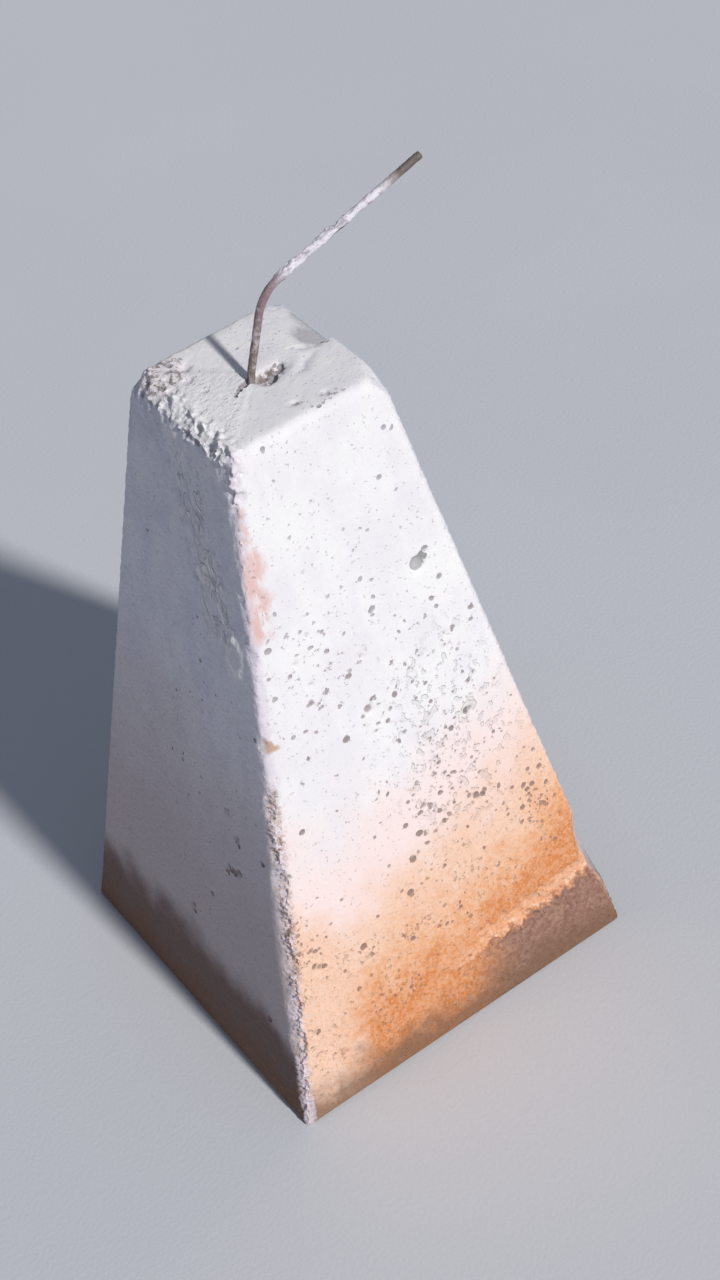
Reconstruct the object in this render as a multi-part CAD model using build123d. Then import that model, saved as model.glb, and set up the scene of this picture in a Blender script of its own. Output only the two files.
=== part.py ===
from build123d import *
import os
from math import cos, radians, sin, sqrt, tan

os.makedirs("parts", exist_ok=True)

# A tall concrete block that narrows upwards, cast in a square mould, with one bent
# steel bar left standing out of its top to tie down what rests on it.
# The base is centred on the origin, X and Y run along its sides, and Z is up.
# The front looks along -Y, and the free arm of the bar points towards +X.

# Mould
block_height = 540.0
base_side = 300.0
top_side = 120.0

# Wear of the upright edges, lightest on the near one between the left and front faces
arris_radius = 7.0
near_arris_radius = 4.0

# Wear of the edges round the top, heaviest on the crumbled left one, and round the base
front_edge_bevel = 3.0
right_edge_bevel = 3.0
back_edge_bevel = 6.0
left_edge_bevel = 5.0
base_edge_bevel = 3.0

# Bites out of the crumbled left edge of the top: place along it as a share of half the top's
# side, from the back to the front, half of the length, depth
left_edge_bites = [
    (-0.32, 6.0, 2.0),
    (-0.02, 11.0, 2.6),
    (0.30, 6.0, 3.2),
    (0.53, 9.0, 4.0),
    (0.80, 5.0, 1.6),
]

# Broken top corners: how far each break runs along X, along Y and down the arris
back_left_break = (15.0, 30.0, 22.0)
front_right_break = (13.0, 28.0, 20.0)
back_right_break = (14.0, 18.0, 10.0)
front_left_break = (7.0, 8.0, 6.0)

# Sunken back part of the top, along its right edge
sunken_width = 25.0
sunken_drop = 10.0
sunken_start = -4.0

# Long spall across the foot of the front face: it starts at a point, rises a little to the
# right, and has its full height and depth at the right-hand arris
spall_start = 4.0
spall_start_level = 66.0
spall_end_level = 71.0
spall_height = 24.0
spall_depth = 5.0

# Worn hollow in the right-hand arris of the front face, just above the spall
hollow_level = 82.0
hollow_length = 80.0
hollow_depth = 7.0
hollow_turn = 45.0

# Long facet worn along the foot of the near arris, turned mostly to the left
facet_level = 150.0
facet_length = 230.0
facet_depth = 3.0
facet_turn = 16.0

# Steel tie bar: a straight leg cast into the block, bent over just above the top, and
# bent again into a straight arm
bar_diameter = 6.0
bar_foot_x = -5.5
bar_foot_y = -5.0
bar_embedment = 250.0
bar_stub = 2.5
bar_lean = 18.4
bar_leg = 58.5
bar_foot_bend_radius = 12.0
bar_arm = 135.0
bar_arm_rise = 17.0
bar_bend_radius = 30.0
bar_tip_chamfer = 0.5

# Chips along the arris between the left and front faces:
# share of the height, half of the length, depth
near_arris_chips = [
    (0.925, 9.0, 2.0),
    (0.735, 10.0, 2.0),
    (0.607, 9.0, 2.5),
    (0.520, 16.0, 3.0),
    (0.400, 20.0, 5.0),
    (0.330, 14.0, 5.0),
    (0.270, 16.0, 6.0),
    (0.200, 13.0, 5.5),
    (0.140, 16.0, 5.5),
    (0.070, 12.0, 3.0),
]
chip_turn = 30.0

# Air holes of each face: place across it (-1 to 1), share of the height, radius
front_holes = [
    (0.60, 0.735, 6.5),
    (0.70, 0.745, 3.0),
    (-0.13, 0.576, 4.5),
    (-0.09, 0.654, 3.0),
    (-0.54, 0.657, 2.8),
    (-0.64, 0.696, 3.0),
    (-0.50, 0.726, 2.6),
    (0.61, 0.617, 3.0),
    (0.60, 0.489, 3.4),
    (0.08, 0.387, 3.6),
    (0.42, 0.356, 3.2),
    (-0.08, 0.319, 3.0),
    (-0.80, 0.243, 3.4),
    (-0.88, 0.146, 2.8),
]
right_holes = [
    (-0.35, 0.66, 3.2),
    (0.40, 0.57, 2.8),
    (0.10, 0.42, 3.4),
    (-0.62, 0.27, 3.0),
]
back_holes = [
    (0.30, 0.70, 3.0),
    (-0.45, 0.52, 3.4),
    (0.55, 0.35, 3.0),
]
left_holes = [
    (0.44, 0.441, 3.0),
    (0.53, 0.407, 3.4),
    (0.51, 0.348, 4.0),
    (0.20, 0.259, 3.0),
    (-0.02, 0.196, 3.2),
]
hole_depth_share = 0.7

# Broad dips left by the striking-off of the back, which lay open in the mould:
# place across it (-1 to 1), share of the height, radius, depth
back_dips = [
    (-0.35, 0.18, 38.0, 1.8),
    (0.30, 0.24, 32.0, 1.6),
    (-0.10, 0.42, 30.0, 1.6),
    (0.40, 0.54, 24.0, 1.5),
    (-0.35, 0.64, 24.0, 1.5),
    (0.00, 0.83, 20.0, 1.3),
]

# Hollows in the top: place along X and Y as shares of half its side, radius, depth
top_hollows = [
    (0.02, -0.73, 3.0, 2.0),
    (0.37, -0.80, 3.0, 2.0),
    (-0.58, 0.12, 2.2, 1.5),
    (0.05, -0.16, 8.0, 3.5),
    (0.23, -0.10, 5.5, 3.0),
    (-0.60, 0.40, 3.6, 2.4),
    (-0.50, 0.62, 4.4, 2.6),
]

# How far a cut reaches past the block
overshoot = 60.0

# Quarter turns from the front face to the right, back and left faces
side_turns = (0, 90, 180, 270)

half_base = base_side / 2
half_top = top_side / 2
slope_length = sqrt(block_height**2 + (half_base - half_top) ** 2)


def half_side(level):
    """Half of the block's width at a level."""
    return half_base + (half_top - half_base) * level / block_height


def side_plane(turn):
    """The sloping plane of one side, seen from outside."""
    origin = Vector(0, -half_base, 0).rotate(Axis.Z, turn)
    across = Vector(1, 0, 0).rotate(Axis.Z, turn)
    outward = Vector(0, -block_height, half_base - half_top).rotate(Axis.Z, turn)
    return Plane(origin=origin, x_dir=across, z_dir=outward)


def upright_edges(body):
    """The sloping upright edges of the body, the near one first."""
    near_corner = (-half_base, -half_base, 0)
    longer = body.edges().filter_by(lambda edge: edge.length > block_height)
    return longer.sort_by_distance(near_corner)


def cast_body():
    """The block as it left the mould, with its edges evenly worn."""
    body = extrude(Rectangle(base_side, base_side), amount=block_height)
    for turn in side_turns:
        body = split(body, bisect_by=side_plane(turn), keep=Keep.BOTTOM)
    body = fillet(upright_edges(body)[1:], arris_radius)
    body = fillet(upright_edges(body)[0], near_arris_radius)
    top_bevels = (front_edge_bevel, right_edge_bevel, back_edge_bevel, left_edge_bevel)
    for turn, bevel in zip(side_turns, top_bevels):
        body = bevel_edge(body, turn, block_height, 1, bevel)
        body = bevel_edge(body, turn, 0, -1, base_edge_bevel)
    return body


def bevel_edge(body, turn, level, upward, bevel):
    """Bevels the top or base edge of one side along a flat at half a right angle."""
    inward = Vector(0, 1, 0).rotate(Axis.Z, turn)
    foot = inward * (bevel - half_side(level)) + Vector(0, 0, level)
    cut = Plane(origin=foot, z_dir=Vector(0, 0, upward) - inward)
    return split(body, bisect_by=cut, keep=Keep.BOTTOM)


def break_corner(body, x_side, y_side, reach):
    """Breaks one top corner off along a flat."""
    along_x, along_y, down = reach
    lower = half_side(block_height - down)
    on_x_edge = Vector(x_side * (half_top - along_x), y_side * half_top, block_height)
    on_y_edge = Vector(x_side * half_top, y_side * (half_top - along_y), block_height)
    on_arris = Vector(x_side * lower, y_side * lower, block_height - down)
    normal = (on_y_edge - on_x_edge).cross(on_arris - on_x_edge) * (x_side * y_side)
    return split(body, bisect_by=Plane(origin=on_arris, z_dir=normal), keep=Keep.BOTTOM)


def ball_hollow(mouth, outward, radius, depth):
    """A ball that dips into a surface by the depth, with its seam turned away from the cut."""
    ball_radius = (radius**2 + depth**2) / (2 * depth)
    centre = mouth + outward.normalized() * (ball_radius - depth)
    return Plane(origin=centre, z_dir=outward) * Rot(Y=-90) * Sphere(ball_radius)


def side_hollow(turn, across, share, radius, depth):
    """A hollow in one side."""
    plane = side_plane(turn)
    half_width = half_side(share * block_height)
    mouth = plane.from_local_coords((across * half_width, share * slope_length, 0))
    return ball_hollow(mouth, plane.z_dir, radius, depth)


def air_holes():
    """The air holes of all four sides."""
    tools = []
    for turn, places in zip(side_turns, (front_holes, right_holes, back_holes, left_holes)):
        for across, share, radius in places:
            tools.append(side_hollow(turn, across, share, radius, hole_depth_share * radius))
    return tools


def top_marks():
    """The hollows in the top."""
    tools = []
    for along_x, along_y, radius, depth in top_hollows:
        mouth = Vector(along_x * half_top, along_y * half_top, block_height)
        tools.append(ball_hollow(mouth, Vector(0, 0, 1), radius, depth))
    return tools


def edge_bites():
    """The bites out of the left edge of the top."""
    tools = []
    for share, radius, depth in left_edge_bites:
        across = left_edge_bevel / 2 - half_top
        mouth = Vector(across, -share * half_top, block_height - left_edge_bevel / 2)
        tools.append(ball_hollow(mouth, Vector(-1, 0, 1), radius, depth))
    return tools


def arris_chip(x_side, y_side, rounding, level, radius, depth, turn):
    """A shell-shaped chip in an upright edge that has a rounding, seen along X at a turn
    of 0 and along Y at 90."""
    along_x = cos(radians(turn))
    along_y = sin(radians(turn))
    core = half_side(level) - rounding
    outward = Vector(x_side * along_x, y_side * along_y, 0)
    mouth = Vector(x_side * core, y_side * core, level) + outward * rounding
    uphill = (half_base - half_top) / block_height * (along_x + along_y)
    return ball_hollow(mouth, outward + Vector(0, 0, uphill), radius, depth)


def spall():
    """The long hollow across the foot of the front face, deepest at the right-hand arris."""
    radius = (spall_height**2 / 4 + spall_depth**2) / (2 * spall_depth)
    front = side_plane(0)
    start = front.from_local_coords((spall_start, spall_start_level, radius))
    end = front.from_local_coords((half_base, spall_end_level, radius - spall_depth))
    length = (end - start).length + overshoot
    along = Plane(origin=start, z_dir=end - start)
    return along * Cylinder(radius, length, align=(Align.CENTER, Align.CENTER, Align.MIN))


def sunken_part():
    """What is missing over the sunken back part of the top."""
    inner = half_top - sunken_width
    outer = half_top + overshoot
    outer_level = block_height - sunken_drop * (outer - inner) / sunken_width
    profile = Plane.XZ.offset(-sunken_start) * Polyline(
        (inner, block_height),
        (outer, outer_level),
        (outer, block_height + overshoot),
        (inner, block_height + overshoot),
        close=True,
    )
    return extrude(make_face(profile), amount=-(half_top - sunken_start + overshoot))


def tie_bar():
    """The bent bar, swept along its centre line from its buried end to its tip."""
    lean = radians(bar_lean)
    rise = radians(bar_arm_rise)
    foot_level = block_height + bar_stub + bar_foot_bend_radius * tan(lean / 2)
    foot = Vector(bar_foot_x, bar_foot_y, foot_level)
    buried_end = Vector(bar_foot_x, bar_foot_y, block_height - bar_embedment)
    bend = foot + Vector(sin(lean), 0, cos(lean)) * bar_leg
    tip = bend + Vector(cos(rise), 0, sin(rise)) * bar_arm
    bends = [bar_foot_bend_radius, bar_bend_radius]
    route = FilletPolyline(buried_end, foot, bend, tip, radius=bends)
    bar = sweep(Plane(origin=buried_end, z_dir=(0, 0, 1)) * Circle(bar_diameter / 2), path=route)
    end_face = bar.faces().sort_by_distance(tip)[0]
    return chamfer(end_face.edges(), bar_tip_chamfer)


def concrete_block(bar):
    """The cast block with its breaks, spalls, chips and air holes, and the bar's socket."""
    body = cast_body()
    body = break_corner(body, -1, 1, back_left_break)
    body = break_corner(body, 1, -1, front_right_break)
    body = break_corner(body, 1, 1, back_right_break)
    body = break_corner(body, -1, -1, front_left_break)
    hollow = (arris_radius, hollow_level, hollow_length / 2, hollow_depth, hollow_turn)
    facet = (near_arris_radius, facet_level, facet_length / 2, facet_depth, facet_turn)
    tools = [sunken_part(), spall(), arris_chip(1, -1, *hollow), arris_chip(-1, -1, *facet)]
    for share, radius, depth in near_arris_chips:
        chip = (near_arris_radius, share * block_height, radius, depth, chip_turn)
        tools.append(arris_chip(-1, -1, *chip))
    tools += [side_hollow(180, *dip) for dip in back_dips]
    tools += air_holes() + edge_bites() + top_marks()
    for tool in tools:
        body = body - tool
    return body - bar


bar = tie_bar()
export_step(concrete_block(bar), "parts/concrete_block.step")
export_step(bar, "parts/tie_bar.step")
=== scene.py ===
"""Looks of a limewashed concrete block with a bent tie bar in its top."""
import math
import random

import bpy
import numpy as np
from mathutils import Euler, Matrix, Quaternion, Vector


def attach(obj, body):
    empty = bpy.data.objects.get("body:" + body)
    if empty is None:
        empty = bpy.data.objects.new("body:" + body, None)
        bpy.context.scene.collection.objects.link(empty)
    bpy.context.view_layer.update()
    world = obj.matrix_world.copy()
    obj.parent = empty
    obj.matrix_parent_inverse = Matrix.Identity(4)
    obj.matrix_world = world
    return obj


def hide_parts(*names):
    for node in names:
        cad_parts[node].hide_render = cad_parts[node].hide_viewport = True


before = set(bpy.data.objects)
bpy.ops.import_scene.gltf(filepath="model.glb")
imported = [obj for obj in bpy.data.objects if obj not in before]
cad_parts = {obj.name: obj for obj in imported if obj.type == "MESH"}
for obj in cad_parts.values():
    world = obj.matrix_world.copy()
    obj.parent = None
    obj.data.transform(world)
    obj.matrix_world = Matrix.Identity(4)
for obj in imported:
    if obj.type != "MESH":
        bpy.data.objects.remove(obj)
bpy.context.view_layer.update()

# Sizes and places are in millimetres. The block's front looks along -Y, its left side along
# -X, and Z is up from the ground.
MM = 0.001
HEIGHT = 540
HALF_BASE = 150
HALF_TOP = 60
BAR_FOOT = (-5.5, -5.0)
BAR_RADIUS = 3
BAR_EMBEDMENT = 250
# Where the lines of the bar's leg and its arm would meet, along X and up, and the arm's rise
BAR_BEND = (13.0, 600.0)
BAR_RISE = math.radians(17)
# How far the leg leans along X for each millimetre up
BAR_LEAN = 0.308
# The plug that fills the bar's socket: its radius as a multiple of the bar's, and how far
# its upper end lies below the top
PLUG_WIDTH = 1.3
PLUG_SINK = 3.5

# Where mortar is smeared on the left side: how far the smears go towards the front for each
# millimetre down, their reach across that lean, and their reach in height
SMEAR_LEAN = 0.36
SMEAR_LANE = (-201, -173)
SMEAR_RISE = (395, 505)
# The flake below them: its place along Y and up, and what a distance upright counts for,
# which makes it taller than wide
FLAKE = (-62, 386)
FLAKE_SQUASH = 0.7

# Sizes of the faces that the block and the bar are first divided into, and how many
# triangles the block's skin keeps before its small holes are cut
BLOCK_GRID = 1.6
BAR_GRID = 0.45
SKIN_TRIANGLES = 115000
# Edges that turn by less than this are shaded smooth
SMOOTH_ANGLE = math.radians(50)


# Mesh


def half_side(z):
    """Half of the block's width at a height."""
    return HALF_BASE + (HALF_TOP - HALF_BASE) * z / HEIGHT


def only(*pieces):
    """Selects just these pieces and makes the first the active one."""
    bpy.ops.object.select_all(action="DESELECT")
    for piece in pieces:
        piece.select_set(True)
    bpy.context.view_layer.objects.active = pieces[0]


def settle():
    """Puts the active piece's place, turn and size into its mesh."""
    bpy.ops.object.transform_apply(location=True, rotation=True, scale=True)
    return bpy.context.object


def copy_of_node(node, name):
    """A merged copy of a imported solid, to be worked on as a piece of its own."""
    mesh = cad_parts[node].data.copy()
    mesh.name = name
    mesh.materials.clear()
    piece = bpy.data.objects.new(name, mesh)
    bpy.context.scene.collection.objects.link(piece)
    only(piece)
    bpy.ops.object.mode_set(mode="EDIT")
    bpy.ops.mesh.select_all(action="SELECT")
    bpy.ops.mesh.remove_doubles(threshold=1e-6)
    bpy.ops.object.mode_set(mode="OBJECT")
    return piece


def apply(piece, kind, **settings):
    """Adds a modifier of this kind to the piece and applies it."""
    only(piece)
    modifier = piece.modifiers.new(kind.lower(), kind)
    for key, value in settings.items():
        setattr(modifier, key, value)
    bpy.ops.object.modifier_apply(modifier=modifier.name)


def places(piece):
    """The piece's vertices as three arrays."""
    flat = np.empty(len(piece.data.vertices) * 3)
    piece.data.vertices.foreach_get("co", flat)
    return flat.reshape(-1, 3).T / MM


def paint(piece, name, weights, steps=24):
    """Writes weights from 0 to 1 into a vertex group."""
    group = piece.vertex_groups.new(name=name)
    level = np.round(np.clip(weights, 0, 1) * steps).astype(int)
    for step in range(1, steps + 1):
        found = np.nonzero(level == step)[0]
        if len(found):
            group.add(found.tolist(), step / steps, "REPLACE")


def fade(value, none, full):
    """0 at none and past it, 1 at full and past it, smooth between."""
    t = np.clip((value - none) / (full - none), 0, 1)
    return t * t * (3 - 2 * t)


def band(value, low, high, soft):
    """1 between low and high, fading to 0 over the soft distance outside."""
    return fade(value, low - soft, low) * fade(value, high + soft, high)


def to_line(x, y, start, end):
    """Distance of each place from a straight line between two points of the top."""
    start, run = np.array(start), np.array(end) - np.array(start)
    share = np.clip(((x - start[0]) * run[0] + (y - start[1]) * run[1]) / (run @ run), 0, 1)
    return np.hypot(x - start[0] - share * run[0], y - start[1] - share * run[1])


def texture(name, kind, size, **settings):
    """A texture for relief, with features of about this size."""
    made = bpy.data.textures.new(name, kind)
    made.noise_scale = size * MM
    for key, value in settings.items():
        setattr(made, key, value)
    return made


def guide_at(turn, stretch):
    """An empty object that turns a texture and draws it out."""
    guide = bpy.data.objects.new("guide", None)
    bpy.context.scene.collection.objects.link(guide)
    guide.rotation_euler = turn
    guide.scale = stretch
    bpy.context.view_layer.update()
    return guide


def shift(piece, group, made, strength, middle=1.0, guide=None, **settings):
    """Moves the surface along its normals by a texture, within a painted group."""
    settings["texture_coords"] = "OBJECT" if guide else "LOCAL"
    if guide:
        settings["texture_coords_object"] = guide
    apply(piece, "DISPLACE", texture=made, vertex_group=group, strength=strength * MM,
          mid_level=middle, **settings)
    if guide:
        bpy.data.objects.remove(guide)


# Block

# Small air holes that stand out in the photo, each with its place across the side from its
# middle, its height and its radius
FRONT_PITS = [
    (55, 401, 4.2), (58, 405, 3.0), (-53, 341, 2.6), (-39, 343, 2.4), (-77, 360, 2.0),
    (-21, 345, 2.3), (57, 333, 2.6), (64, 334, 2.4), (82, 342, 2.3), (80, 333, 2.0),
    (-35, 299, 2.6), (12, 392, 2.2), (9, 384, 2.4), (8, 379, 2.0), (14, 405, 2.0),
    (6, 410, 1.8), (64, 379, 2.3), (54, 366, 2.0), (46, 355, 2.1), (50, 505, 2.4),
    (56, 502, 2.0), (-16, 378, 1.8), (-42, 382, 2.0), (-72, 397, 2.6), (-70, 404, 1.8),
    (-60, 420, 2.2), (-57, 400, 1.8), (-62, 370, 1.7), (-47, 334, 2.0), (-33, 327, 1.8),
    (-66, 302, 1.7), (-55, 318, 1.7), (-8, 318, 2.4), (9, 311, 2.6), (12, 316, 1.9),
    (-1, 294, 2.0), (-50, 276, 1.6), (-75, 285, 1.6), (-86, 249, 3.0), (-105, 221, 2.0),
    (-16, 237, 2.6), (-22, 243, 1.8), (9, 209, 3.2), (14, 207, 2.6), (5, 206, 2.4),
    (24, 212, 2.2), (-10, 172, 3.0), (-66, 126, 2.8), (-19, 146, 2.8), (51, 192, 3.2),
    (57, 190, 2.6), (46, 195, 2.4), (60, 265, 3.2), (38, 222, 2.6), (29, 237, 2.2),
    (45, 258, 2.4), (22, 187, 2.6), (0, 190, 3.0), (4, 178, 2.2), (-9, 203, 2.2),
    (20, 198, 2.4), (27, 190, 2.0), (71, 188, 2.4), (-100, 131, 3.6), (-107, 136, 2.6),
    (-107, 150, 2.8), (-103, 148, 2.0), (-119, 79, 2.8), (-116, 154, 2.4), (-79, 93, 2.4),
    (-61, 115, 2.2), (-27, 106, 2.2), (107, 183, 2.8), (103, 150, 2.4), (98, 172, 2.4),
    (110, 166, 2.2), (91, 175, 2.4), (83, 62, 2.6), (86, 157, 2.2), (115, 150, 2.0),
    (-36, 535, 2.2), (38, 473, 1.8), (-70, 462, 1.6), (-35, 510, 1.6),
]
LEFT_PITS = [
    (47, 238, 2.4), (60, 220, 2.8), (63, 216, 2.2), (56, 186, 4.0), (62, 190, 3.4),
    (48, 181, 2.6), (51, 186, 3.0), (0, 108, 3.0), (1, 102, 2.4), (25, 140, 2.6),
    (93, 222, 2.4), (100, 74, 2.6),
]
# Small holes of the top, by their place and their radius
TOP_PITS = [
    (1, -44, 2.4), (22, -51, 2.2), (25, -53, 1.8), (11, -57, 2.2), (15, -56, 1.7),
    (18, -49, 1.4), (28, -50, 1.2), (7, -54, 1.2), (20, -55, 1.3), (4, -46, 1.2),
    (-3, -45, 1.1), (31, -54, 1.3), (17, -54, 1.2), (-35, 7, 2.4), (-31, -23, 1.6),
    (-36, 26, 2.6), (-32, 25, 2.2), (-52, 28, 2.4), (-51, 32, 2.2), (-49, 43, 2.4),
    (-46, 46, 2.0), (-42, 41, 2.0), (-37, 46, 2.6), (-35, 50, 2.2), (-37, 38, 2.4),
    (-39, 33, 2.0), (-29, 47, 2.0), (-44, 29, 1.8), (5, 29, 1.6), (52, -6, 1.8),
    (44, -2, 1.6),
]
# The crack and the rough pocket at the foot of the bar, as rows of balls: start, end, radius
# at each, and how deep the middles of the balls lie
TOP_ROWS = [
    ((-8, -5), (-15, -6), 2.7, 2.3, 1.2),
    ((-15, -6), (-22, -11), 2.3, 1.6, 0.8),
    ((0, -11), (8, -10), 2.2, 3.4, 1.8),
    ((8, -9), (17, -5), 3.2, 2.4, 1.5),
    ((14, -2), (19, -3), 1.6, 1.2, 0.6),
]

# How deep a hole is, as a share of the radius of its mouth
PIT_DEPTH = 0.55
# How far out of the face the middle of its ball lies, as such a share
PIT_RAISE = 0.1
# The size of the balls beside the first one, as a share of it
BESIDE = 0.75
# The widest that a ball is drawn out, which also keeps the balls of a batch apart
WIDEST = 1.3
# Balls in a row, for each length of the first one's radius
ROW_BALLS = 1.4
# Radius of the smallest hole that chance draws, and the most that chance adds to it
DRAWN_RADIUS = 0.7
DRAWN_EXTRA = 1.2
# How far drawn holes keep from the ground and the top, and from the arrises
RIM_MARGIN = 10
ARRIS_MARGIN = 5
# Seeds for the places of the holes and for their shapes
PLACE_SEED = 7
SHAPE_SEED = 11
# Balls smaller than this are made of fewer faces
SMALL_BALL = 1.5

# Where the smallest holes crowd on a side: middle across and up, half width, half height and
# how many
FRONT_CROWDS = [
    (28, 240, 56, 70, 170), (-45, 365, 36, 50, 44), (98, 150, 20, 44, 70),
    (-110, 140, 17, 50, 50), (25, 320, 70, 50, 60), (0, 120, 120, 80, 110),
    (0, 440, 62, 90, 26), (-60, 70, 60, 30, 30),
]
SIDE_CROWDS = [(0, 250, 90, 210, 45)]


def on_side(turn, across, up, out):
    """A point on one of the four sides, where turn 0 is the front and 90 the right side."""
    point = Vector((across, -half_side(up) - out, up))
    angle = math.radians(turn)
    return Vector((point.x * math.cos(angle) - point.y * math.sin(angle),
                   point.x * math.sin(angle) + point.y * math.cos(angle), point.z))


def side_pits(chance):
    """Side, place across, height and radius of each small hole of a side, listed ones first."""
    found = [(0, *pit) for pit in FRONT_PITS] + [(270, *pit) for pit in LEFT_PITS]
    for turn, crowds in ((0, FRONT_CROWDS), (90, SIDE_CROWDS), (270, SIDE_CROWDS)):
        for across, up, wide, high, count in crowds:
            for _ in range(count):
                x = across + wide * chance.gauss(0, 0.5)
                z = up + high * chance.gauss(0, 0.5)
                radius = DRAWN_RADIUS + DRAWN_EXTRA * chance.random() ** 2
                on_face = abs(x) < half_side(z) - ARRIS_MARGIN
                if on_face and RIM_MARGIN < z < HEIGHT - RIM_MARGIN:
                    found.append((turn, x, z, radius))
    return found


def pit_balls():
    """Middle, turn in degrees, radius and depth of every ball that is cut out of the block,
    one to three to a hole. A turn of None is for the top."""
    chance = random.Random(PLACE_SEED)
    balls = []
    for turn, across, up, radius in side_pits(chance):
        deep = PIT_DEPTH * radius
        balls.append((on_side(turn, across, up, PIT_RAISE * radius), turn, radius, deep))
        for _ in range(chance.choice((0, 1, 2))):
            x = across + chance.uniform(-0.8, 0.8) * radius
            z = up + chance.uniform(-0.8, 0.8) * radius
            middle = on_side(turn, x, z, PIT_RAISE * radius)
            balls.append((middle, turn, BESIDE * radius, BESIDE * deep))
    for x, y, radius in TOP_PITS:
        deep = PIT_DEPTH * radius
        balls.append((Vector((x, y, HEIGHT)), None, radius, deep))
        beside = Vector((x + 0.7 * radius, y - 0.4 * radius, HEIGHT))
        balls.append((beside, None, BESIDE * radius, BESIDE * deep))
    for start, end, first, last, deep in TOP_ROWS:
        start, end = Vector((*start, HEIGHT - deep)), Vector((*end, HEIGHT - deep))
        count = round(ROW_BALLS * (end - start).length / first)
        for step in range(count + 1):
            aside = Vector([chance.uniform(-0.6, 0.6) for _ in range(3)])
            share = step / count
            radius = first + (last - first) * share
            balls.append((start.lerp(end, share) + aside, None, radius, radius))
    return balls


def batches(balls):
    """Shares the balls out so that no two in a batch touch, as the Boolean asks."""
    shared = []
    for ball in balls:
        for batch in shared:
            if all((ball[0] - other[0]).length > WIDEST * (ball[2] + other[2])
                   for other in batch):
                batch.append(ball)
                break
        else:
            shared.append([ball])
    return shared


def pit_cutter(balls, chance):
    """One mesh of a batch of balls, each squashed towards the face it is set in."""
    bpy.ops.object.select_all(action="DESELECT")
    bpy.ops.mesh.primitive_ico_sphere_add(subdivisions=2, radius=1)
    fine = bpy.context.object
    bpy.ops.mesh.primitive_ico_sphere_add(subdivisions=1, radius=1)
    coarse = bpy.context.object
    cutters = []
    for middle, turn, radius, deep in balls:
        pattern = coarse if radius < SMALL_BALL else fine
        cutter = pattern.copy()
        cutter.data = pattern.data.copy()
        bpy.context.scene.collection.objects.link(cutter)
        cutter.location = middle * MM
        outward = Vector((0, 0, 1))
        if turn is not None:
            outward = on_side(turn, 0, 0, 1) - on_side(turn, 0, 0, 0)
        spin = Quaternion((0, 0, 1), chance.uniform(0, math.tau))
        cutter.rotation_euler = (outward.to_track_quat("Z", "Y") @ spin).to_euler()
        spread = [chance.uniform(low, WIDEST) for low in (0.9, 0.5, 0.8)]
        cutter.scale = Vector((radius * spread[0], radius * spread[1], deep * spread[2])) * MM
        cutters.append(cutter)
    bpy.data.objects.remove(fine)
    bpy.data.objects.remove(coarse)
    only(*cutters)
    if len(cutters) > 1:
        bpy.ops.object.join()
    return settle()


def cut_pits(piece):
    """Cuts the small holes and marks their walls, so that the finish can find them."""
    chance = random.Random(SHAPE_SEED)
    skin, wall = bpy.data.materials.new("skin"), bpy.data.materials.new("wall")
    piece.data.materials.append(skin)
    for batch in batches(pit_balls()):
        cutter = pit_cutter(batch, chance)
        cutter.data.materials.append(wall)
        apply(piece, "BOOLEAN", operation="DIFFERENCE", object=cutter, solver="MANIFOLD",
              material_mode="TRANSFER")
        bpy.data.objects.remove(cutter)
    faces = piece.data.polygons
    walls = np.zeros(len(faces), dtype=np.int32)
    faces.foreach_get("material_index", walls)
    marks = piece.data.attributes.new("pit_walls", "FLOAT", "FACE")
    marks.data.foreach_set("value", (walls > 0).astype(np.float32))
    faces.foreach_set("material_index", np.zeros(len(faces), dtype=np.int32))
    piece.data.materials.clear()


def flatten_pits(piece):
    """Takes the smooth shading off the walls of the pits."""
    faces = piece.data.polygons
    walls = np.zeros(len(faces), dtype=np.float32)
    smooth = np.zeros(len(faces), dtype=bool)
    piece.data.attributes["pit_walls"].data.foreach_get("value", walls)
    faces.foreach_get("use_smooth", smooth)
    faces.foreach_set("use_smooth", smooth & (walls < 0.5))


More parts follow.
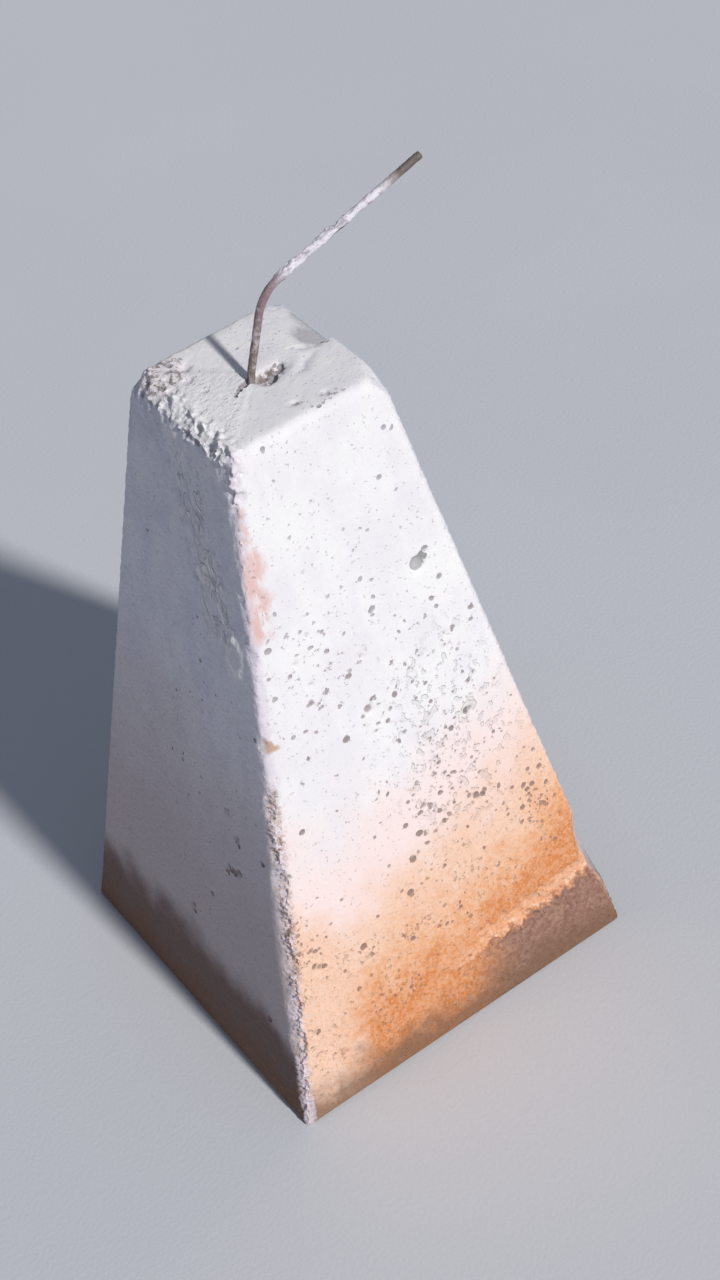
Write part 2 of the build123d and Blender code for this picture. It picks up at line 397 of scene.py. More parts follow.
class Zones:
    """How much each kind of wear shows at every vertex, from 0 to 1, by the vertex's place."""

    def __init__(self, piece):
        x, y, z = places(piece)
        self.x, self.y, self.z = x, y, z
        self.inside_x = half_side(z) - np.abs(x)
        self.inside_y = half_side(z) - np.abs(y)
        self.inside = np.minimum(self.inside_x, self.inside_y)
        self.to_arris = np.hypot(self.inside_x, self.inside_y)
        self.below_top = HEIGHT - z
        # Keeps the edges of the zones from running straight
        self.wobble = (1.5 * np.sin(0.21 * x + 0.33 * z) + 1.3 * np.sin(0.45 * y - 0.28 * z + 1)
                       + 1.0 * np.sin(0.9 * (x + y) + 2) + 0.8 * np.sin(1.3 * z + 0.7 * x))
        self.on_front = (y < 0) & (self.inside_y < self.inside_x)
        self.on_left = (x < 0) & (self.inside_x < self.inside_y)
        self.on_back = (y > 0) & (self.inside_y < self.inside_x)
        self.near = (x < 0) & (y < 0)
        self.off_ground = fade(z, 1, 7)

    def top_edge(self, inside, here):
        """Distance from one of the top's edges, or far off where the side isn't this one."""
        return np.where(here, np.hypot(inside, self.below_top), 1000) + self.wobble

    def crumbled(self):
        """Large crumbs: the top's left edge, its back corner and the foot of the near arris."""
        arris = self.to_arris + self.wobble
        corner = np.hypot(self.x + 50, self.y - 46) + self.wobble
        return self.off_ground * np.maximum.reduce([
            fade(self.top_edge(self.inside_x, self.x < 0), 15, 8),
            self.near * fade(arris, 11, 5) * fade(self.z, 485, 520),
            0.25 * fade(corner, 22, 12) * fade(self.below_top, 30, 8),
            0.9 * self.on_front * fade(np.abs(self.z - 64), 20, 10) * fade(self.x, 0, 30),
        ])

    def chipped(self):
        """Small crumbs down the foot of the near arris."""
        aside = np.abs(self.inside_x - self.inside_y) + 0.8 * self.wobble
        close = self.near & (self.to_arris < 24)
        return self.off_ground * close * fade(aside, 9, 4) * fade(self.z, 320, 250)

    def flaked(self):
        """A thin flake of lime that stands up a little on the left side."""
        upright = FLAKE_SQUASH * (self.z - FLAKE[1])
        distance = np.hypot(self.y - FLAKE[0], upright) + self.wobble
        return self.on_left * fade(distance, 13, 10)

    def gritty(self):
        """Fine crumbs: the other edges, and the bare mortar under the ledge."""
        arris = self.to_arris + self.wobble
        back_edge = self.top_edge(self.inside_y, self.y > 0)
        right_edge = self.top_edge(self.inside_x, self.x > 0)
        return self.off_ground * np.maximum.reduce([
            0.6 * self.near * fade(arris, 8, 3),
            0.8 * fade(arris, 10, 4) * (self.x > 0),
            0.5 * fade(arris, 8, 3) * (self.y > 0),
            0.5 * fade(np.minimum(back_edge, right_edge), 9, 3),
            0.5 * fade(self.top_edge(self.inside_y, self.y < 0), 7, 3),
            0.9 * self.on_front * fade(self.z + self.wobble, 66, 56) * fade(self.x, 0, 30),
            0.5 * fade(np.hypot(self.inside, self.z), 14, 6),
            0.9 * (self.below_top < 9) * fade(to_line(self.x, self.y, (1, -10), (16, -5)), 10, 5),
            0.4 * fade(np.hypot(self.x + 40, self.y - 36), 30, 16) * (self.below_top < 6),
        ])

    def smeared(self):
        """Mortar smeared aslant down the left side, the part under the rim, and a scar."""
        along, z = -self.y + 1.5 * self.wobble, self.z
        slant = self.y - SMEAR_LEAN * z + 1.5 * self.wobble
        return self.on_left * fade(self.below_top, 3, 12) * np.maximum.reduce([
            band(slant, *SMEAR_LANE, 8) * band(z, *SMEAR_RISE, 14),
            0.7 * fade(self.below_top, 60, 15) * band(along, -60, 55, 10),
            0.5 * band(along, 48, 72, 8) * band(z, 395, 520, 20),
        ])

    def cracked(self):
        """A faint groove over the top, and a sharper one along the sunken part."""
        x, y = self.x + 0.4 * self.wobble, self.y - 0.4 * self.wobble
        faint = (self.below_top < 6) * fade(to_line(x, y, (22, -20), (38, -10)), 3, 1)
        sharp = (self.below_top < 12) * fade(to_line(x, y, (35, 2), (53, -5)), 2.4, 1)
        return np.maximum(faint, sharp)

    def stippled(self):
        """The ripple of the back, which lay open in the mould and was struck off."""
        edge = np.minimum(self.inside_x, self.below_top)
        return self.on_back * fade(edge, 0, 14) * fade(self.z, 0, 20)

    def soaked(self):
        """The sandy foot of the block, where soil has eaten into the limewash."""
        level = 150 + 0.5 * np.abs(self.x + 30)
        front = self.on_front * fade(self.z, level + 20, level - 60)
        return self.off_ground * np.maximum(front, 0.5 * fade(self.z, 120, 40))


def divide_crumbs(piece):
    """Finer faces where the block has crumbled."""
    zones = Zones(piece)
    chosen = np.maximum(zones.crumbled(), zones.chipped()) > 0.3
    only(piece)
    mesh = piece.data
    mesh.polygons.foreach_set("select", np.zeros(len(mesh.polygons), bool))
    mesh.edges.foreach_set("select", np.zeros(len(mesh.edges), bool))
    mesh.vertices.foreach_set("select", chosen)
    bpy.ops.object.mode_set(mode="EDIT")
    bpy.ops.mesh.select_mode(type="VERT")
    bpy.ops.mesh.subdivide(number_cuts=1)
    bpy.ops.object.mode_set(mode="OBJECT")


def stand_flat(piece):
    """Keeps everything above the ground."""
    flat = places(piece)
    flat[2] = np.maximum(flat[2], 0)
    piece.data.vertices.foreach_set("co", (flat.T * MM).ravel())
    piece.data.update()


def worn_block():
    """The block with its crumbs, chips, smears, ripple and small holes."""
    piece = copy_of_node("concrete_block", "limewashed_block")
    # The bar's socket, which nobody sees, is filled, so that the skin is one closed shell
    bpy.ops.object.select_all(action="DESELECT")
    middle = HEIGHT - PLUG_SINK - BAR_EMBEDMENT / 2
    bpy.ops.mesh.primitive_cylinder_add(
        vertices=16, radius=PLUG_WIDTH * BAR_RADIUS * MM, depth=BAR_EMBEDMENT * MM,
        location=Vector((*BAR_FOOT, middle)) * MM)
    plug = settle()
    only(piece, plug)
    bpy.ops.object.join()
    apply(piece, "REMESH", mode="VOXEL", voxel_size=BLOCK_GRID * MM)
    divide_crumbs(piece)

    zones = Zones(piece)
    lumps = texture("lumps", "CLOUDS", 6.5, noise_depth=2, contrast=1.6)
    crumbs = texture("crumbs", "VORONOI", 4.6, distance_metric="DISTANCE")
    chips = texture("chips", "VORONOI", 3.2, distance_metric="DISTANCE")
    fine = texture("fine", "CLOUDS", 3.2, noise_depth=2)
    sandy = texture("sandy", "CLOUDS", 2.6, noise_depth=1)
    smear = texture("smear", "CLOUDS", 5.5, noise_depth=1, contrast=1.6)
    stipple = texture("stipple", "CLOUDS", 6.5, noise_depth=1)
    swell = texture("swell", "CLOUDS", 80, noise_depth=2)

    paint(piece, "crumbled", zones.crumbled())
    paint(piece, "chipped", zones.chipped())
    paint(piece, "flaked", zones.flaked())
    paint(piece, "gritty", zones.gritty())
    paint(piece, "smeared", zones.smeared())
    paint(piece, "cracked", zones.cracked())
    paint(piece, "stippled", zones.stippled())
    paint(piece, "soaked", zones.soaked())
    paint(piece, "all_over", zones.off_ground)
    shift(piece, "crumbled", lumps, 3.6, middle=0.60)
    shift(piece, "crumbled", crumbs, -2.4, middle=0.30)
    shift(piece, "chipped", chips, -3.0, middle=0.20)
    apply(piece, "DISPLACE", vertex_group="flaked", strength=1.0 * MM, mid_level=0.0)
    shift(piece, "gritty", fine, 2.6, middle=0.80)
    # The smears are drawn out along their lean
    guide = guide_at((-math.atan(SMEAR_LEAN), 0, 0), (1, 1, 2.6))
    shift(piece, "smeared", smear, 3.0, 0.56, guide)
    shift(piece, "cracked", fine, -1.2, middle=-0.3, direction="Z")
    shift(piece, "stippled", stipple, 4.2, middle=0.62)
    shift(piece, "soaked", sandy, 1.6, middle=0.55)
    shift(piece, "all_over", swell, 0.9, middle=0.5)
    shift(piece, "all_over", fine, 0.4, middle=0.6)
    stand_flat(piece)

    share = SKIN_TRIANGLES / (2 * len(piece.data.polygons))
    apply(piece, "DECIMATE", ratio=share, use_collapse_triangulate=True)
    cut_pits(piece)
    # Dirt and painted shade go into the hollows, which are found here
    only(piece)
    piece.data.color_attributes.new("hollows", "BYTE_COLOR", "CORNER")
    bpy.ops.paint.vertex_color_dirt(blur_strength=1.0, blur_iterations=1)
    return piece


def rusty_bar():
    """The bar with its rust and the lumps of lime along its arm."""
    piece = copy_of_node("tie_bar", "rusty_tie_bar")
    apply(piece, "REMESH", mode="VOXEL", voxel_size=BAR_GRID * MM)
    x, y, z = places(piece)
    along = x - BAR_BEND[0]
    over_axis = (z - BAR_BEND[1] - along * math.tan(BAR_RISE)) * math.cos(BAR_RISE)
    paint(piece, "rust", fade(z, HEIGHT - 4, HEIGHT + 2))
    shift(piece, "rust", texture("rust", "CLOUDS", 2.5, noise_depth=2), 0.6)
    # Lumps of lime along the arm, most of them on its upper side and over its first half
    lumpy = fade(along, 4, 18) * fade(along, 96, 52) * (0.5 + 0.5 * fade(over_axis, -2, 1.5))
    thin = 0.35 * fade(along, 4, 16) * fade(along, 112, 98)
    paint(piece, "crust", np.maximum(lumpy, thin))
    # The lumps lie along the arm, so their texture is turned and drawn out that way
    crust = texture("crust", "CLOUDS", 4, noise_depth=2, contrast=2.0)
    shift(piece, "crust", crust, 2.8, 0.50, guide_at((0, -BAR_RISE, 0), (2.2, 1, 1)))
    return piece


# Finishes

# Colours, each part from 0 to 255
LIME_WHITE = (246, 244, 243)
LIME_GREY = (239, 236, 239)
SIDE_FILM = (198, 186, 188)
SIDE_SHADOW = (206, 206, 222)
SIDE_SOIL = (124, 104, 98)
PINK_FILM = (250, 230, 226)
PEACH = (246, 208, 184)
ORANGE = (237, 171, 122)
DEEP_ORANGE = (219, 138, 80)
LEDGE_LIP = (250, 218, 194)
LEDGE_LIT = (238, 172, 122)
LEDGE_BROWN = (146, 108, 94)
SOIL = (128, 96, 76)
BARE_MORTAR = (202, 166, 140)
BROWN_GRAIN = (122, 104, 88)
RECESS_GREY = (184, 180, 185)
ROSE = (230, 190, 183)
CRUMB = (226, 217, 228)
TOP_CREASE = (196, 186, 198)
ARRIS_CREASE = (162, 134, 132)
AGGREGATE = (130, 118, 104)
PIT_GREY = (142, 144, 142)
PIT_BROWN = (150, 118, 92)
POCKET_BROWN = (122, 102, 90)
CRACK_BROWN = (98, 84, 78)
BAR_BROWN = (122, 108, 100)
BAR_GREY = (150, 138, 132)
BAR_ROSE = (146, 118, 126)
OLD_LIME = (230, 225, 232)
LIME_CREASE = (160, 150, 162)
BARE_STEEL = (104, 94, 90)


def shade(colour):
    """A colour given as 0 to 255, in the shader's own numbers."""
    parts = [part / 255 for part in colour]
    return (*[p / 12.92 if p <= 0.04045 else ((p + 0.055) / 1.055) ** 2.4 for p in parts], 1.0)


class Mixture:
    """A node tree that is filled a step at a time, in millimetres. Each step gives back its
    output."""

    def __init__(self, name):
        self.material = bpy.data.materials.new(name)
        self.material.use_nodes = True
        self.tree = self.material.node_tree
        self.noises = {}
        place = self.add("ShaderNodeTexCoord").outputs["Object"]
        self.place = self.stretched(place, [1 / MM] * 3)
        parts = self.add("ShaderNodeSeparateXYZ", {"Vector": self.place}).outputs
        self.x, self.y, self.z = parts["X"], parts["Y"], parts["Z"]

    def add(self, kind, inputs=None, **settings):
        """A new node, with its inputs joined to other nodes or set."""
        made = self.tree.nodes.new(kind)
        for key, value in settings.items():
            setattr(made, key, value)
        for socket, value in (inputs or {}).items():
            if isinstance(value, bpy.types.NodeSocket):
                self.tree.links.new(value, made.inputs[socket])
            else:
                made.inputs[socket].default_value = value
        return made

    def stretched(self, place, scale, turn=(0, 0, 0)):
        """A place with its parts multiplied, and turned after that."""
        sockets = {"Vector": place, "Scale": scale, "Rotation": turn}
        return self.add("ShaderNodeMapping", sockets).outputs["Vector"]

    def maths(self, operation, first, second=0.0):
        """One sum, of outputs or plain numbers."""
        return self.add("ShaderNodeMath", {0: first, 1: second}, operation=operation).outputs[0]

    def plus(self, first, *others):
        for other in others:
            first = self.maths("ADD", first, other)
        return first

    def minus(self, first, second):
        return self.maths("SUBTRACT", first, second)

    def times(self, first, *others):
        for other in others:
            first = self.maths("MULTIPLY", first, other)
        return first

    def most(self, first, *others):
        for other in others:
            first = self.maths("MAXIMUM", first, other)
        return first

    def least(self, first, *others):
        for other in others:
            first = self.maths("MINIMUM", first, other)
        return first

    def size(self, value):
        return self.maths("ABSOLUTE", value)

    def fade(self, value, none, full, most=1.0):
        """0 at none and past it, most at full and past it, smooth between."""
        sockets = {"Value": value, "From Min": none, "From Max": full, "To Max": most}
        made = self.add("ShaderNodeMapRange", sockets, interpolation_type="SMOOTHSTEP")
        return made.outputs["Result"]

    def band(self, value, low, high, soft):
        """1 between low and high, fading to 0 over the soft distance outside."""
        return self.times(self.fade(value, low - soft, low), self.fade(value, high + soft, high))

    def noise_at(self, place, size, detail, roughness):
        """Noise with features of about this size, from 0 to 1."""
        sockets = {"Vector": place, "Scale": 1 / size, "Detail": detail}
        sockets["Roughness"] = roughness
        return self.add("ShaderNodeTexNoise", sockets).outputs["Fac"]

    def noise(self, size, detail=3.0, roughness=0.5, stretch=(1, 1, 1), turn=(0, 0, 0)):
        """Noise over the piece's own places. The same one is made once."""
        kind = (size, detail, roughness, stretch, turn)
        if kind not in self.noises:
            place = self.place
            if stretch != (1, 1, 1) or turn != (0, 0, 0):
                place = self.stretched(place, stretch, turn)
            self.noises[kind] = self.noise_at(place, size, detail, roughness)
        return self.noises[kind]

    def wander(self, size, reach):
        """Noise around nought that goes about this far to each side."""
        return self.times(self.minus(self.noise(size, 3, 0.6), 0.5), 2 * reach)

    def away(self, centre, stretch=(1, 1, 1)):
        """Distance from a point. A stretch of 0 leaves that direction out."""
        sockets = {0: self.place, 1: centre}
        moved = self.add("ShaderNodeVectorMath", sockets, operation="SUBTRACT").outputs[0]
        sockets = {0: self.stretched(moved, stretch)}
        return self.add("ShaderNodeVectorMath", sockets, operation="LENGTH").outputs["Value"]

    def blot(self, centre, reach, ragged=6, stretch=(1, 1, 1), most=1.0):
        """A mask with a ragged rim round a point."""
        distance = self.plus(self.away(centre, stretch), self.wander(9, ragged))
        return self.fade(distance, reach, 0.45 * reach, most)

    def over(self, under, mask, colour):
        """Lays a colour over another one where the mask is."""
        low = under if isinstance(under, bpy.types.NodeSocket) else shade(under)
        top = colour if isinstance(colour, bpy.types.NodeSocket) else shade(colour)
        sockets = {"Fac": mask, "Color1": low, "Color2": top}
        return self.add("ShaderNodeMixRGB", sockets).outputs["Color"]

    def finish(self, colour, roughness, height, deep):
        """Joins the colour, the roughness and a relief this deep to the shader."""
        sockets = {"Height": height, "Distance": deep * MM, "Strength": 1.0}
        relief = self.add("ShaderNodeBump", sockets)
        shader = self.tree.nodes["Principled BSDF"]
        self.tree.links.new(colour, shader.inputs["Base Color"])
        self.tree.links.new(roughness, shader.inputs["Roughness"])
        self.tree.links.new(relief.outputs["Normal"], shader.inputs["Normal"])
        return shader


class Concrete(Mixture):
    """The block's finish: limewash, the soil that has got into it, bare mortar, dirt and painted
    shade.
    """

    def __init__(self):
        super().__init__("limewashed_concrete")
        wide, deep = self.size(self.x), self.size(self.y)
        self.half = self.minus(HALF_BASE, self.times(self.z, (HALF_BASE - HALF_TOP) / HEIGHT))
        self.inside = self.minus(self.half, self.most(wide, deep))
        self.front = self.fade(self.minus(self.times(self.y, -1), wide), -4, 4)
        self.left = self.fade(self.minus(self.times(self.x, -1), deep), -4, 4)
        self.top = self.fade(self.z, HEIGHT - 12, HEIGHT - 6)
        self.near_arris = self.most(self.plus(self.x, self.half), self.plus(self.y, self.half))
        from_start = self.fade(self.plus(self.x, self.wander(14, 14)), -16, 34)
        self.ledge = self.times(self.front, from_start)
        slant = self.minus(self.y, self.times(self.z, SMEAR_LEAN))
        lane = self.band(self.plus(slant, self.wander(14, 6)), *SMEAR_LANE, 8)
        self.smeared = self.times(lane, self.band(self.z, *SMEAR_RISE, 14), self.left)
        self.smear_rims = self.times(self.rims_along(slant), self.smeared)
        self.squiggles = self.squiggled()
        self.grit = None

    def rims_along(self, slant):
        """Broken lines that follow one level of a noise drawn out along the smears."""
        drawn = {"X": self.x, "Y": slant, "Z": self.times(self.z, 0.3)}
        drawn = self.add("ShaderNodeCombineXYZ", drawn).outputs["Vector"]
        level = self.noise_at(drawn, 13, 2.0, 0.55)
        broken = self.fade(self.noise(9, 3, 0.6), 0.34, 0.50)
        return self.times(self.band(level, 0.490, 0.515, 0.025), broken)

    def squiggled(self):
        """Shallow hollows that wind between the crowded holes on the right of the front."""
        crowd = self.plus(self.away((44, 0, 250), (1, 0, 0.55)), self.wander(30, 22))
        winding = self.noise(6, 2, 0.55, (1, 1, 0.7), (0, math.radians(30), 0))
        return self.times(self.fade(winding, 0.56, 0.63), self.fade(crowd, 66, 36), self.front)

    def limewash(self):
        """Thicker and thinner lime, brushed up and down, with painted shade over every side but
        the front, and dust and soil on the sides.
        """
        brushed = self.noise(16, 3, 0.6, (1, 1, 0.25))
        thick = self.plus(self.noise(70, 4, 0.55), self.times(brushed, 0.5))
        colour = self.over(LIME_GREY, self.fade(thick, 0.58, 0.90), LIME_WHITE)
        splash = self.plus(self.z, self.wander(110, 80), self.wander(14, 20))
        sides = self.minus(1.0, self.front)
        # Painted shade: every side but the front is tinted darker and bluer below the top, in
        # mottled patches
        mottled_side_shade = self.plus(self.fade(self.noise(22, 3, 0.6, (1, 1, 0.5)), 0.40, 0.70, 0.3), 0.4)
        mottled_side_shade = self.times(mottled_side_shade, sides, self.minus(1.0, self.top))
        colour = self.over(colour, mottled_side_shade, SIDE_SHADOW)
        # The pale rims of the smears and of the flake: paler lime, and partly a painted highlight
        # where these ridges catch the light against the painted shade
        colour = self.over(colour, self.smear_rims, LIME_WHITE)
        flake = self.away((0, *FLAKE), (0, 1, FLAKE_SQUASH))
        rim = self.band(self.plus(flake, self.wander(9, 4)), 8.5, 10, 1.5)
        colour = self.over(colour, self.times(rim, self.left, 0.85), LIME_WHITE)
        # Dust over the lower half, and the line of the soil
        film = self.times(self.fade(splash, 380, 120), sides)
        colour = self.over(colour, film, SIDE_FILM)
        ground = self.plus(self.z, self.wander(110, 44), self.wander(30, 8), self.wander(9, 6))
        return self.over(colour, self.times(self.fade(ground, 92, 50), sides), SIDE_SOIL)

    def soaked(self, colour):
        """Red soil up the front in pink, peach and orange, higher to the right."""
        # How far below the soil's rim a place lies. The rim rises to the right, and for the
        # paler stains to the left too
        lean = self.times(self.most(self.plus(self.x, 50), 0.0), 0.27)
        lean = self.plus(lean, self.fade(self.x, 55, 115, 12))
        spread = self.plus(self.wander(60, 50), self.wander(14, 16))
        level = self.minus(self.plus(lean, 88), self.plus(self.z, spread))
        left_rise = self.plus(level, self.most(self.minus(-75, self.x), 0.0))
        pink = self.times(self.front, self.fade(left_rise, -185, -95))
        colour = self.over(colour, pink, PINK_FILM)
        peach = self.times(self.front, self.fade(left_rise, -105, -36))
        colour = self.over(colour, peach, PEACH)
        sand = self.times(self.fade(self.noise(2.2, 3, 0.6), 0.50, 0.66), self.front)
        colour = self.over(colour, self.times(sand, self.fade(left_rise, -90, -20, 0.5)), ORANGE)
        # Grit in patches, which the relief takes up too
        grains = self.fade(self.noise(3.6, 2, 0.55, (1, 1, 0.7)), 0.58, 0.66)
        patches = self.fade(self.noise(30, 3, 0.6), 0.46, 0.62)
        soiled = self.fade(left_rise, -85, -30)
        self.grit = self.times(grains, self.front, soiled, patches)
        # Orange and deep orange, mottled, with pale grains
        fleck = self.plus(self.noise(4, 3, 0.6), self.times(self.noise(14, 3, 0.6), 0.4))
        mottled = self.plus(self.fade(fleck, 0.80, 0.58, 0.45), 0.55)
        from_left = self.fade(self.plus(self.x, self.wander(30, 30)), -110, -70)
        here = self.times(from_left, mottled, self.front)
        colour = self.over(colour, self.times(here, self.fade(level, -38, 8)), ORANGE)
        colour = self.over(colour, self.times(here, self.fade(level, -2, 32)), DEEP_ORANGE)
        pale = self.times(self.fade(self.noise(2.2, 3, 0.6), 0.48, 0.36, 0.4), here)
        colour = self.over(colour, self.times(pale, self.fade(level, -20, 10)), PEACH)
        return self.over(colour, self.times(self.grit, 0.38), PIT_BROWN)

    def ledge_colours(self, colour):
        """The spall at the foot: a pale lip, a lit slope, and below it brown sandy mortar
        darkened with painted shade under the lip.
        """
        ragged = self.plus(self.wander(14, 9), self.wander(4, 5))
        height = self.plus(self.z, self.times(self.x, -0.08), ragged)
        fleck = self.fade(self.noise(4, 3, 0.6), 0.35, 0.65)
        lit = self.over(LEDGE_LIT, self.times(fleck, 0.6), LEDGE_LIP)
        slope = self.times(self.ledge, self.band(height, 55, 67, 4))
        colour = self.over(colour, self.times(slope, 0.75), lit)
        patches = self.fade(self.noise(16, 3, 0.6), 0.42, 0.58)
        lip = self.times(self.ledge, self.band(height, 54.5, 56.5, 1.0), patches)
        colour = self.over(colour, self.times(lip, 0.8), LEDGE_LIP)
        # Below the lip: brown sandy mortar, darkened as painted shade under the lip
        brown = self.over(LEDGE_BROWN, self.times(fleck, 0.4), BARE_MORTAR)
        here = self.fade(self.plus(self.x, self.wander(30, 30)), -5, 60)
        below = self.times(self.ledge, self.fade(height, 54, 48), here)
        colour = self.over(colour, below, brown)
        ground = self.plus(self.z, self.wander(30, 30), self.wander(9, 12))
        return self.over(colour, self.fade(ground, 46, 4, 0.85), SOIL)

    def bare_edges(self, colour):
        """Pale crumbs and bare mortar down the near arris, with rose stains beside it."""
        ragged = self.plus(self.near_arris, self.wander(9, 5), self.wander(4, 5))
        colour = self.over(colour, self.fade(ragged, 9, 5, 0.7), CRUMB)
        bare_part = self.most(self.band(self.z, 240, 285, 20), self.band(self.z, 140, 205, 25))
        mortar = self.times(bare_part, self.fade(ragged, 11, 6, 0.9))
        grains = self.fade(self.noise(2.2, 3, 0.6), 0.46, 0.56, 0.7)
        colour = self.over(colour, self.times(mortar, grains), BARE_MORTAR)
        dark_grains = self.fade(self.noise(4, 3, 0.6), 0.54, 0.60, 0.9)
        colour = self.over(colour, self.times(mortar, dark_grains), BROWN_GRAIN)
        # Rose stains: a narrow one, and a wider one that reaches up and away from the arris
        fan = (0, math.radians(-35), 0)
        streaks = self.fade(self.noise(9, 4, 0.65, (1, 1, 0.3), fan), 0.40, 0.58)
        reach = self.plus(self.near_arris, self.wander(14, 12), self.times(streaks, -7))
        narrow = self.times(self.band(self.z, 480, 498, 8), self.fade(reach, 7, 2))
        wider = self.times(self.band(self.z, 412, 466, 12), self.fade(reach, 15, 3))
        patchy = self.plus(self.times(streaks, 0.5), 0.4)
        colour = self.over(colour, self.times(self.most(narrow, wider), patchy, self.front), ROSE)
        # A chip with three corners
        rim = self.wander(4, 3)
        across = self.plus(self.x, rim)
        rise = self.minus(self.z, 322)
        low = self.fade(rise, -1, 2)
        right = self.fade(self.plus(across, self.times(rise, 0.7)), -81, -84)
        chip = self.times(low, right, self.fade(across, -99, -96), self.front)
        return self.over(colour, self.times(chip, 0.9), BARE_MORTAR)

    def top_colours(self, colour):
        """Bare aggregate at the back left of the top, and painted shade greying the sunken part.
        Brown mortar in the pocket, and dark brown in the crack at the foot of the bar, dirt with
        painted shade."""
        bare = self.times(self.blot((-46, 41, HEIGHT), 24, 10), self.top)
        colour = self.over(colour, self.times(bare, 0.14), ROSE)
        spots = self.fade(self.noise(3.6, 2, 0.5, (1, 0.6, 1)), 0.53, 0.60, 0.8)
        colour = self.over(colour, self.times(bare, spots), AGGREGATE)
        # Painted shade: the sunken part is greyed
        recess = self.times(self.blot((50, 12, HEIGHT - 7), 18, 7, (1.2, 1, 0.8)), self.top)
        colour = self.over(colour, self.times(recess, 0.8), RECESS_GREY)
        pocket = self.blot((8, -8, HEIGHT - 2), 14, 5, (0.8, 1.2, 1))
        sunk = self.fade(self.z, HEIGHT - 0.5, HEIGHT - 2)
        patchy = self.fade(self.noise(4, 3, 0.6), 0.62, 0.48)
        colour = self.over(colour, self.times(pocket, sunk, patchy, 0.9), POCKET_BROWN)
        # The crack: dark brown, dirt with painted shade
        crack = self.times(self.blot((-15, -8, HEIGHT - 1), 15, 2, (1, 1.6, 1)), sunk)
        return self.over(colour, self.times(crack, 0.9), CRACK_BROWN)

    def dirt_and_painted_shade(self, colour):
        """Dirt and painted shade in pits, hollows and creases, brown near the ground."""
        pit_dirt_and_shade = self.over(PIT_BROWN, self.fade(self.z, 100, 260), PIT_GREY)
        walls = self.add("ShaderNodeAttribute", attribute_name="pit_walls").outputs["Fac"]
        # The larger holes, away from the arrises, the ledge and the struck-off back, darkened
        # with dirt and painted shade
        across = self.size(self.minus(self.size(self.x), self.size(self.y)))
        flat = self.times(self.fade(across, 10, 15), self.fade(self.y, 70, 50))
        deep = self.times(self.fade(self.inside, 1.1, 2.2), self.fade(self.z, 94, 100), flat)
        deep = self.times(deep, self.minus(1.0, self.top))
        # Painted shade with dirt: the pit walls darken most where they lie deepest
        depth = self.least(self.inside, self.minus(HEIGHT, self.z))
        walls = self.times(walls, self.fade(depth, -0.5, 1.4, 0.9))
        walls = self.times(walls, self.minus(1.0, self.times(self.left, 0.4)))
        colour = self.over(colour, self.most(walls, self.times(deep, 0.7)), pit_dirt_and_shade)
        # The winding hollows take a little of the same dirt and painted shade
        colour = self.over(colour, self.times(self.squiggles, 0.15), pit_dirt_and_shade)
        # Creases between the crumbs, darkened with dirt and painted shade, but hardly in the
        # smears
        hollow = self.add("ShaderNodeAttribute", attribute_name="hollows").outputs["Fac"]
        crease = self.over(ARRIS_CREASE, self.fade(self.z, 300, 420), TOP_CREASE)
        creased = self.times(self.fade(hollow, 0.50, 0.20), 0.6)
        creased = self.times(creased, self.minus(1.0, self.times(self.smeared, 0.8)))
        colour = self.over(colour, creased, crease)
        # Pinholes, in patches, darkened with dirt and painted shade
        specks = self.times(self.fade(self.noise(2.6, 2), 0.66, 0.72),
                            self.fade(self.noise(30, 3, 0.6), 0.50, 0.62))
        return self.over(colour, self.times(specks, self.minus(1.0, self.top), 0.45), pit_dirt_and_shade)

    def relief(self):
        """Sand grains, pinholes and brush marks, rougher on the left side, sandy near the
        ground and rough over the struck-off back."""
        grain = self.times(self.noise(0.8, 3, 0.6), 0.35)
        holes = self.times(self.fade(self.noise(2.6, 2), 0.66, 0.74), -0.7)
        brushed = self.times(self.noise(8, 3, 0.6, (1, 1, 0.2)), 0.8)
        rough = self.times(self.noise(4, 3, 0.6), self.plus(self.times(self.left, 1.4), 0.5))
        sandy = self.times(self.noise(2.2, 3, 0.6), self.fade(self.z, 190, 90), 1.2)
        squiggles = self.times(self.squiggles, -1.1)
        rims = self.times(self.smear_rims, 2.2)
        grit = self.times(self.grit, -0.8)
        back = self.fade(self.minus(self.y, self.size(self.x)), -4, 8)
        back = self.times(back, self.minus(1.0, self.top))
        struck = self.times(self.fade(self.noise(7, 3, 0.6), 0.36, 0.62, 2.4), back)
        return self.plus(grain, holes, brushed, rough, sandy, squiggles, rims, grit, struck)


def concrete_finish():
    mix = Concrete()
    colour = mix.soaked(mix.limewash())
    colour = mix.ledge_colours(colour)
    colour = mix.bare_edges(colour)
    colour = mix.top_colours(colour)
    colour = mix.dirt_and_painted_shade(colour)
    roughness = mix.most(mix.fade(mix.noise(4, 3, 0.6), 0.2, 0.8, 0.98), 0.82)
    shader = mix.finish(colour, roughness, mix.relief(), 0.6)
    shader.inputs["Specular IOR Level"].default_value = 0.25
    return mix.material


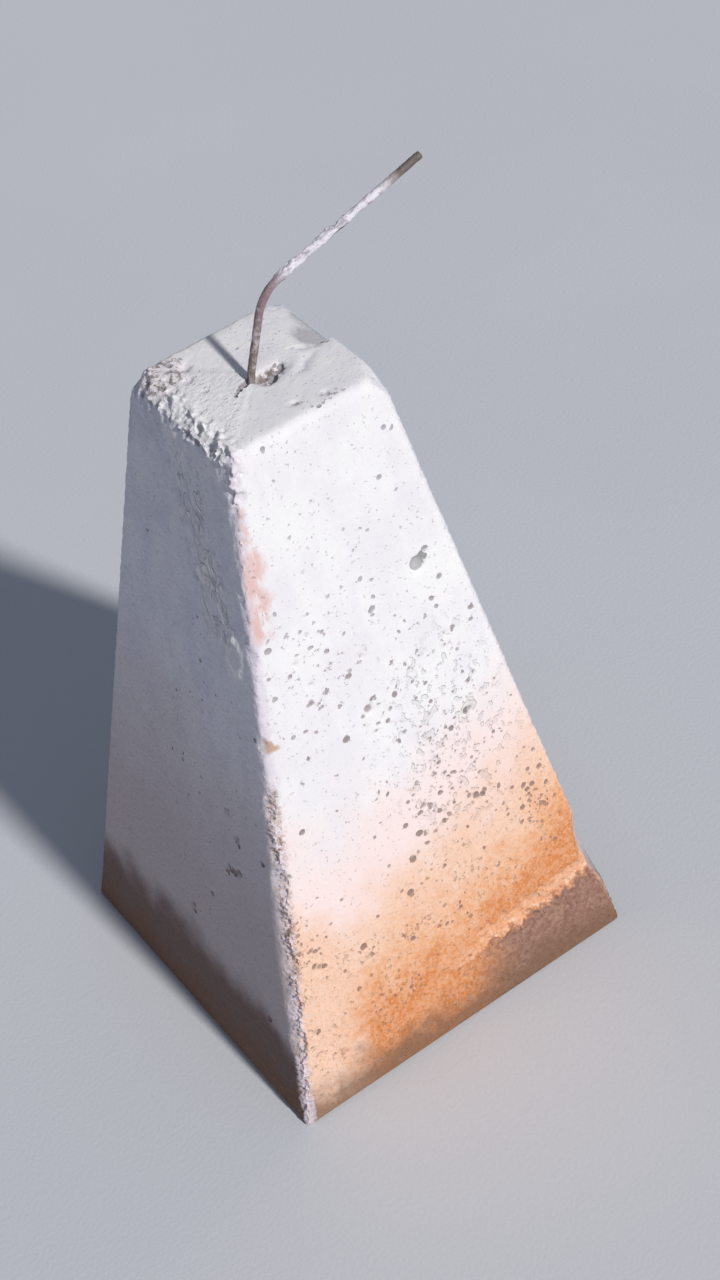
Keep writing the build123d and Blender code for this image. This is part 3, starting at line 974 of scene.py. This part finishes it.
def bar_finish():
    """Brown rust, rose at the bend, bare steel at the cut end, and lime splashed over it."""
    mix = Mixture("rusty_painted_steel")
    x, z = mix.x, mix.z
    rust = mix.over(BAR_BROWN, mix.fade(mix.noise(4, 4, 0.6), 0.40, 0.60), BAR_GREY)
    bend = mix.blot((18, BAR_FOOT[1], BAR_BEND[1]), 34, 6)
    rust = mix.over(rust, mix.times(bend, 0.75), BAR_ROSE)
    steel = mix.over(rust, mix.fade(x, 118, 128, 0.8), BARE_STEEL)
    # Lime splashed along the arm, thickest on its upper side
    axis = mix.plus(mix.times(mix.minus(x, BAR_BEND[0]), math.tan(BAR_RISE)), BAR_BEND[1])
    over_axis = mix.minus(z, axis)
    along_arm = (0, BAR_RISE, 0)
    blotches = mix.noise(6, 4, 0.65, (0.5, 1, 1), along_arm)
    cover = mix.plus(blotches, mix.fade(over_axis, -3.0, 1.5, 0.26))
    reach = mix.times(mix.fade(x, 16, 36), mix.fade(x, 124, 106))
    limed = mix.times(mix.fade(cover, 0.46, 0.58), reach)
    splashes = mix.fade(mix.noise(8, 3, 0.6), 0.52, 0.64, 0.4)
    thin = mix.times(splashes, mix.fade(x, 20, 0))
    # The right side of the leg turns pale, in the lime's colour, below the bend
    leg_axis = mix.plus(mix.times(mix.minus(z, HEIGHT), BAR_LEAN), BAR_FOOT[0])
    run = mix.fade(mix.plus(mix.minus(x, leg_axis), mix.wander(9, 1.5)), 0.6, 1.8)
    thin = mix.most(thin, mix.times(run, mix.fade(z, 592, 582), 0.7))
    colour = mix.over(steel, mix.most(limed, thin), OLD_LIME)
    creases = mix.fade(mix.noise(3, 3, 0.6, (0.6, 1, 1), along_arm), 0.50, 0.62, 0.6)
    colour = mix.over(colour, mix.times(limed, creases), LIME_CREASE)
    roughness = mix.most(mix.fade(mix.noise(3.3, 3), 0.3, 0.7, 0.95), 0.65)
    height = mix.plus(mix.times(mix.noise(1.1, 3, 0.6), 0.5), mix.times(limed, 0.5))
    mix.finish(colour, roughness, height, 0.4)
    return mix.material


def floor_finish():
    mix = Mixture("floor_paint")
    colour = mix.over((206, 208, 213), mix.noise(330, 2), (211, 213, 217))
    mix.finish(colour, mix.most(mix.noise(50, 2), 0.85), mix.noise(3.3, 2), 0.2)
    return mix.material


for piece, node, slot, finish in (
    (worn_block(), "concrete_block", "limewashed_concrete", concrete_finish()),
    (rusty_bar(), "tie_bar", "rusty_painted_steel", bar_finish()),
):
    piece.data.materials.append(finish)
    only(piece)
    bpy.ops.object.shade_smooth_by_angle(angle=SMOOTH_ANGLE)
    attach(piece, "root")
    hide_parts(node)
    if piece.data.attributes.get("pit_walls"):
        flatten_pits(piece)

# Floor, light and camera, in metres

bpy.ops.object.select_all(action="DESELECT")
bpy.ops.mesh.primitive_plane_add(size=12)
floor = bpy.context.object
floor.name = "floor"
floor.data.materials.append(floor_finish())

# Soft light from all round, as blue as an open sky
world = bpy.data.worlds.new("studio")
world.use_nodes = True
world.node_tree.nodes["Background"].inputs["Color"].default_value = (0.71, 0.79, 1.0, 1)
world.node_tree.nodes["Background"].inputs["Strength"].default_value = 0.23
bpy.context.scene.world = world

# One large lamp, far off to the front and a little to the right
towards_lamp = Vector((0.139, -0.761, 0.634))
lamp = bpy.data.objects.new("key_lamp", bpy.data.lights.new("key_lamp", "SUN"))
lamp.data.energy = 2.75
lamp.data.angle = math.radians(4)
lamp.data.color = (1.0, 0.985, 0.965)
lamp.rotation_euler = towards_lamp.to_track_quat("Z", "Y").to_euler()
bpy.context.scene.collection.objects.link(lamp)

# The photo's own camera, found from the corners of the blocks in it
camera = bpy.data.objects.new("camera", bpy.data.cameras.new("camera"))
camera.data.lens = 70.0
camera.data.sensor_width = 36.0
camera.location = (-0.5856, -1.1257, 1.5264)
camera.rotation_euler = Euler([math.radians(turn) for turn in (45.2896, 6.7206, -35.8327)])
bpy.context.scene.collection.objects.link(camera)
bpy.context.scene.camera = camera
bpy.context.scene.view_settings.view_transform = "Standard"
